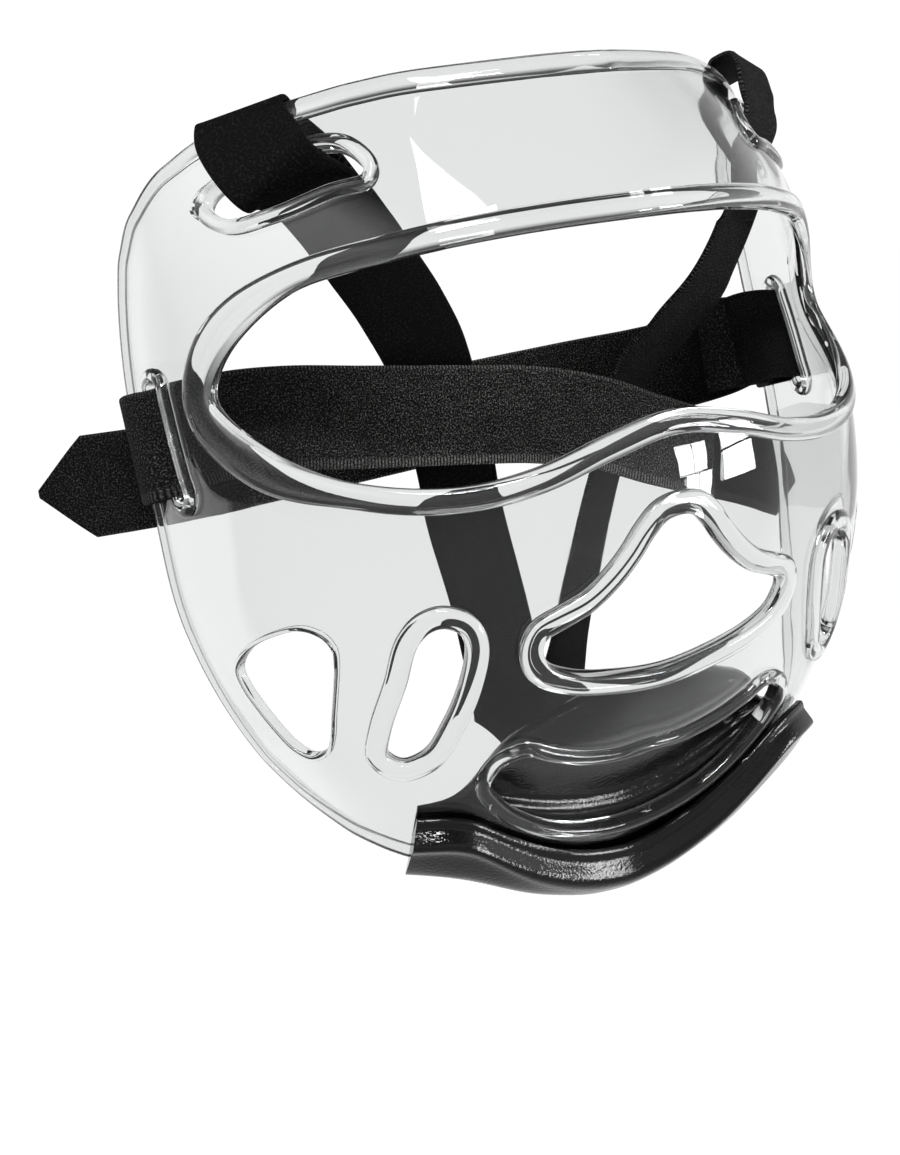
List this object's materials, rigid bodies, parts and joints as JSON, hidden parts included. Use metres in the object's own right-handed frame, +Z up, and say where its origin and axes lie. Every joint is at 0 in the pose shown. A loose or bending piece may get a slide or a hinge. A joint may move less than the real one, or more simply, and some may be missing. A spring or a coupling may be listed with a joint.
{
  "type": "martial arts face shield",
  "caption": "Clear bent face shield with eye, nose, mouth and vent openings, a black moulded chin guard and black hook-and-loop straps threaded through its slots.",
  "frame": {"origin": "middle of the wearer's face opening: on the centre plane, at eye level, level with the tops of the two side strap slots", "axes": "+Z up, the face looks along -Y, +X to the wearer's left"},
  "size_m": [0.2265, 0.105, 0.2013],
  "materials": {
    "clear_plastic": "clear polished polycarbonate sheet with rounded raised rims",
    "black_vinyl": "glossy black dipped foam with a slightly wavy skin",
    "webbing": "black hook-and-loop tape, looped pile on one face and smooth weave on the other"
  },
  "bodies": {
    "root": {"shield": "clear_plastic", "chin_guard": "black_vinyl", "strap_side_right": "webbing", "strap_side_left": "webbing", "strap_top_right": "webbing", "strap_top_left": "webbing"}
  },
  "joints": []
}
